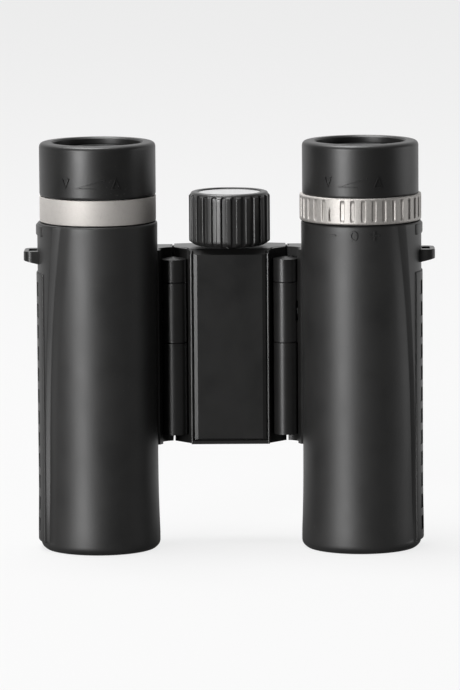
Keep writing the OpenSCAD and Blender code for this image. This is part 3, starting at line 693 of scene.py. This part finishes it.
def groove_share(off):
    """Share of a groove's depth at a share of its half width."""
    corner, drop = GROOVE_CORNER
    if off >= corner:
        return drop * max(1 - off, 0) / (1 - corner)
    return min(drop + (1 - drop) * (corner - off) / (corner - GROOVE_FLOOR), 1)


def away(turn, other):
    """Angle between two turns, the short way round."""
    return abs((turn - other + math.pi) % (2 * math.pi) - math.pi)


def fluted(name, centre, profile, flutes, end, slot, body, replaced):
    """Ring of revolution with grooves in its rim.

    The profile is a closed run of (radius, z, share): the share of the groove's depth at that point.
    Each flute is (turn, half width, lowest z, highest z, depth), in radians and metres.
    The end is the height over which a groove runs out.
    """
    turns = []
    for turn, half, _, _, _ in flutes:
        turns += [(turn + half * step) % (2 * math.pi) for step in GROOVE_STEPS]
    turns = sorted(turns)
    filled = []
    for k, turn in enumerate(turns):
        following = turns[(k + 1) % len(turns)] + (2 * math.pi if k + 1 == len(turns) else 0)
        gaps = max(1, math.ceil((following - turn) / WIDEST_STEP))
        filled += [turn + (following - turn) * i / gaps for i in range(gaps)]
    rings = []
    for turn in filled:
        ring = []
        for radius, z, share in profile:
            sunk = 0.0
            for at, half, low, high, depth in flutes:
                off = away(turn, at) / half
                if share <= 0 or off > GROOVE_REACH:
                    continue
                bow = GROOVE_BOW * off ** 2
                ends = blend_step((z - low - bow) / end) * blend_step((high - bow - z) / end)
                sunk = max(sunk, depth * share * groove_share(off) * ends)
            ring.append(around(centre, turn, radius - sunk, z))
        rings.append(ring)
    verts, faces = loft(rings)
    piece = new_piece(name, verts, faces, slot, body, replaced)
    piece.data.set_sharp_from_angle(angle=RIB_SHARP_ANGLE)


def rows_between(low, high, radius, share, pitch):
    """Profile rows up a straight wall, crowded towards both ends."""
    inner = [low + step for step in NEAR_ENDS]
    span = high - low - 2 * NEAR_ENDS[-1]
    count = max(1, round(span / pitch))
    inner += [low + NEAR_ENDS[-1] + span * k / count for k in range(1, count)]
    inner += [high - step for step in reversed(NEAR_ENDS)]
    return [(radius, z, share) for z in inner]


DIOPTER_RIBS = 36
DIOPTER_FIRST = math.radians(2)
DIOPTER_WALL = 2.6 * MM
DIOPTER_GAP = 0.25 * MM        # dark line left under the eyecup
DIOPTER_GROOVE = math.radians(4.9)
DIOPTER_GROOVE_Z = (0.55 * MM, 0.4 * MM)    # from the ring's lower and upper edge
DIOPTER_GROOVE_END = 0.75 * MM
DIOPTER_DEPTH = 0.4 * MM
DIOPTER_ROWS = 0.6 * MM        # height between rows up the ring
INDEX_TURN = math.radians(-28)     # middle of the plain stretch
INDEX_LINE = math.radians(-31)
INDEX_HALF = math.radians(1.1)
INDEX_LENGTH = 3.8 * MM
DIOPTER_EDGE = [(0.35, 0.0), (0.12, 0.08), (0.0, 0.35)]   # inward and up from the ring's lower corner, in mm


def diopter_ring():
    """Bright ribbed ring, with one plain stretch that carries the index line."""
    low, high = span_z("diopter_ring")
    high -= DIOPTER_GAP
    outer = radius_of("diopter_ring")
    inner = outer - DIOPTER_WALL
    groove_low, groove_high = low + DIOPTER_GROOVE_Z[0], high - DIOPTER_GROOVE_Z[1]
    pitch = 2 * math.pi / DIOPTER_RIBS
    flutes = []
    for k in range(DIOPTER_RIBS):
        turn = DIOPTER_FIRST + k * pitch
        if away(turn, INDEX_TURN) > pitch / 2:
            flutes.append((turn, DIOPTER_GROOVE / 2, groove_low, groove_high, DIOPTER_DEPTH))
    flutes.append((INDEX_LINE, INDEX_HALF, groove_low, groove_low + INDEX_LENGTH, 2 * DIOPTER_DEPTH))
    profile = [(inner, low, 0)]
    profile += [(outer - bow * MM, low + rise * MM, 0) for bow, rise in DIOPTER_EDGE]
    profile += rows_between(groove_low, groove_high, outer, 1, DIOPTER_ROWS)
    profile += [(outer - bow * MM, high - rise * MM, 0) for bow, rise in reversed(DIOPTER_EDGE)]
    profile += [(inner, high, 0)]
    fluted("ribbed_ring", middle("diopter_ring"), profile, flutes, DIOPTER_GROOVE_END, "knurled_aluminium",
           "diopter_ring", ["diopter_ring"])


WHEEL_RIBS = 25
WHEEL_FIRST = math.radians(6.5)
WHEEL_GROOVE = math.radians(9.0)
WHEEL_DEPTH = 0.7 * MM
WHEEL_GROOVE_END = 0.45 * MM
WHEEL_FIT = (0.12 * MM, 0.02 * MM)     # gap round the disc and round the hub
WHEEL_RIM = 1.05 * MM
WHEEL_FOOT = 1.15          # height of the lower bevel, in mm
WHEEL_RISES = (0.3, 0.5, 0.7, 0.9)
WHEEL_SLOPE = 1.3          # how much the lower bevel goes in for each mm down
WHEEL_SHOULDER = 1.1 * MM
WHEEL_ROWS = 16
# (inward from the rim, up from the shoulder, share of the groove) over the upper bevel, in mm
WHEEL_TOP = [
    (0.0, -0.1, 1), (0.04, 0.0, 1), (0.12, 0.1, 1), (0.22, 0.2, 1), (0.32, 0.32, 0.9), (0.42, 0.45, 0.5),
    (0.52, 0.6, 0), (0.62, 0.78, 0), (0.75, 0.95, 0),
]


def wheel_grip():
    """Ribbed black focus wheel with bevelled ends."""
    low, high = span_z("wheel_grip")
    outer = radius_of("wheel_grip")
    rim = outer - WHEEL_RIM
    bore = radius_of("wheel_disc") + WHEEL_FIT[0]
    seat = span_z("wheel_disc")[0]
    hub = radius_of("wheel_hub") + WHEEL_FIT[1]
    rib_low, rib_high = low + WHEEL_FOOT * MM, high - WHEEL_SHOULDER
    groove_z = (low - 1.5 * MM, rib_high + 0.5 * MM)
    flutes = [
        (WHEEL_FIRST + k * 2 * math.pi / WHEEL_RIBS, WHEEL_GROOVE / 2, *groove_z, WHEEL_DEPTH)
        for k in range(WHEEL_RIBS)
    ]
    profile = [(hub, low, 0), (outer - 1.8 * MM, low, 0), (outer - 1.55 * MM, low + 0.08 * MM, 0)]
    profile += [
        (outer - (WHEEL_FOOT - rise) * WHEEL_SLOPE * MM, low + rise * MM, min(rise / 1.1, 1))
        for rise in WHEEL_RISES
    ]
    profile += [(outer - 0.06 * MM, rib_low - 0.06 * MM, 1), (outer, rib_low + 0.15 * MM, 1)]
    profile += [(outer, rib_low + (rib_high - rib_low) * k / WHEEL_ROWS, 1) for k in range(1, WHEEL_ROWS)]
    profile += [(outer - bow * MM, rib_high + rise * MM, share) for bow, rise, share in WHEEL_TOP]
    profile += [(rim, high - 0.03 * MM, 0), (rim - 0.25 * MM, high, 0), (bore + 0.15 * MM, high, 0)]
    profile += [(bore, high - 0.12 * MM, 0), (bore, seat, 0), (hub, seat, 0)]
    fluted("ribbed_wheel", middle("wheel_grip"), profile, flutes, WHEEL_GROOVE_END, "wheel_grip",
           "focus_wheel", ["wheel_grip"])


# ---------------------------------------------------------------- marks

MARK_STEPS = 6             # parts of each stretch of a line, so that it follows the round wall
MARK_ROOT = 0.05 * MM      # how deep a line is sunk in the wall
MARK_TOP = 0.55            # share of its width at its top
TWIST_LINE = (0.4 * MM, 0.28 * MM)     # width and height
TWIST_FOOT, TWIST_TOP = 3.1, 5.9
# (turn in degrees, height over the cup's lower edge in mm): down triangle, rising wedge, up triangle
TWIST_MARKS = [
    [(-34.7, TWIST_TOP), (-27.3, TWIST_TOP), (-31, TWIST_FOOT), (-34.7, TWIST_TOP)],
    [(9, TWIST_FOOT + 2.5), (-19.5, TWIST_FOOT + 0.1), (-1, TWIST_FOOT)],
    [(16, TWIST_FOOT), (24, TWIST_FOOT), (20, TWIST_TOP), (16, TWIST_FOOT)],
]
TWIST_TURN = {"left": 0, "right": -3}
SCALE_LINE = (0.55 * MM, 0.4 * MM)
SCALE_DROP = 3.0 * MM      # below the dioptre ring
SCALE_R = 16.75 * MM
SCALE_TURNS = (-29.3, -7, 12.7)        # minus, zero and plus, in degrees
SCALE_HALF = (4.6, 1.35 * MM)          # half the strokes' width in degrees, and half the plus's height
ZERO_HALF = (3.1, 1.25 * MM)
ZERO_STEPS = 12


def mark(name, centre, radius, lines, line_size, body, slot):
    """Thin raised lines on a round wall; each line runs through (turn in degrees, z) points."""
    width, height = line_size
    section = ((-1, -MARK_ROOT), (-MARK_TOP, height), (MARK_TOP, height), (1, -MARK_ROOT))
    verts, faces = [], []
    for line in lines:
        points = []
        for (turn_a, z_a), (turn_b, z_b) in zip(line, line[1:]):
            shares = [k / MARK_STEPS for k in range(MARK_STEPS)]
            points += [(turn_a + (turn_b - turn_a) * t, z_a + (z_b - z_a) * t) for t in shares]
        points.append(line[-1])
        flat = [Vector((math.radians(turn) * radius, z)) for turn, z in points]
        closed = (flat[0] - flat[-1]).length < 1e-6
        if closed:
            flat.pop()
        first = len(verts)
        count = len(flat)
        for k, here in enumerate(flat):
            before = flat[k - 1] if closed or k else here
            after = flat[(k + 1) % count] if closed or k + 1 < count else here
            along = (after - before).normalized()
            across = Vector((-along.y, along.x)) * width / 2
            for side, lift in section:
                spot = here + across * side
                verts.append(around(centre, spot.x / radius, radius + lift, spot.y))
        size = len(section)
        for k in range(count if closed else count - 1):
            a, b = first + size * k, first + size * ((k + 1) % count)
            faces += [(a + i, a + (i + 1) % size, b + (i + 1) % size, b + i) for i in range(size)]
        if not closed:
            faces += [tuple(start + i for i in range(size)) for start in (first, first + size * (count - 1))]
    new_piece(name, verts, faces, slot, body)


def twist_marks(side):
    """Down triangle, rising wedge and up triangle on an eyecup."""
    node = side + "_eyecup_rubber"
    low = span_z(node)[0]
    lines = [[(turn + TWIST_TURN[side], low + rise * MM) for turn, rise in line] for line in TWIST_MARKS]
    mark(side + "_twist_marks", middle(node), radius_of(node), lines, TWIST_LINE, side + "_eyecup",
         "eyecup_rubber")


def diopter_marks():
    """Minus, zero and plus under the dioptre ring."""
    level = span_z("diopter_ring")[0] - SCALE_DROP
    minus, zero, plus = SCALE_TURNS
    spread, arm = SCALE_HALF
    wide, tall = ZERO_HALF
    angles = [2 * math.pi * k / ZERO_STEPS for k in range(ZERO_STEPS + 1)]
    lines = [
        [(minus - spread, level), (minus + spread, level)],
        [(zero + wide * math.sin(angle), level + tall * math.cos(angle)) for angle in angles],
        [(plus - spread, level), (plus + spread, level)],
        [(plus, level - arm), (plus, level + arm)],
    ]
    mark("diopter_marks", barrel_axis("right"), SCALE_R, lines, SCALE_LINE, "right_barrel", "armour_rubber")


# ---------------------------------------------------------------- build

set_look()
make_camera()
make_world()
make_floor()
make_lights()
dress_cad_nodes()
for node_name, edge_width in BEVELLED.items():
    round_edges(frame["nodes"][node_name], edge_width * MM)
trim_ring()
diopter_ring()
wheel_grip()
diopter_marks()
for side_name in SIDES:
    armour(side_name)
    strip_low, strip_high = span_z(side_name + "_side_grip")
    side_strip(side_name + "_strip", side_name, strip_low, strip_high, STRIP_FOOT_R, STRIP_EDGE,
               "grip_rubber", True, [side_name + "_side_grip"])
    side_strip(side_name + "_bump", side_name, *BUMP_Z, STRIP_R, BUMP_EDGE, "armour_rubber", False, [])
    eyecup(side_name)
for side_name in SIDES:
    twist_marks(side_name)
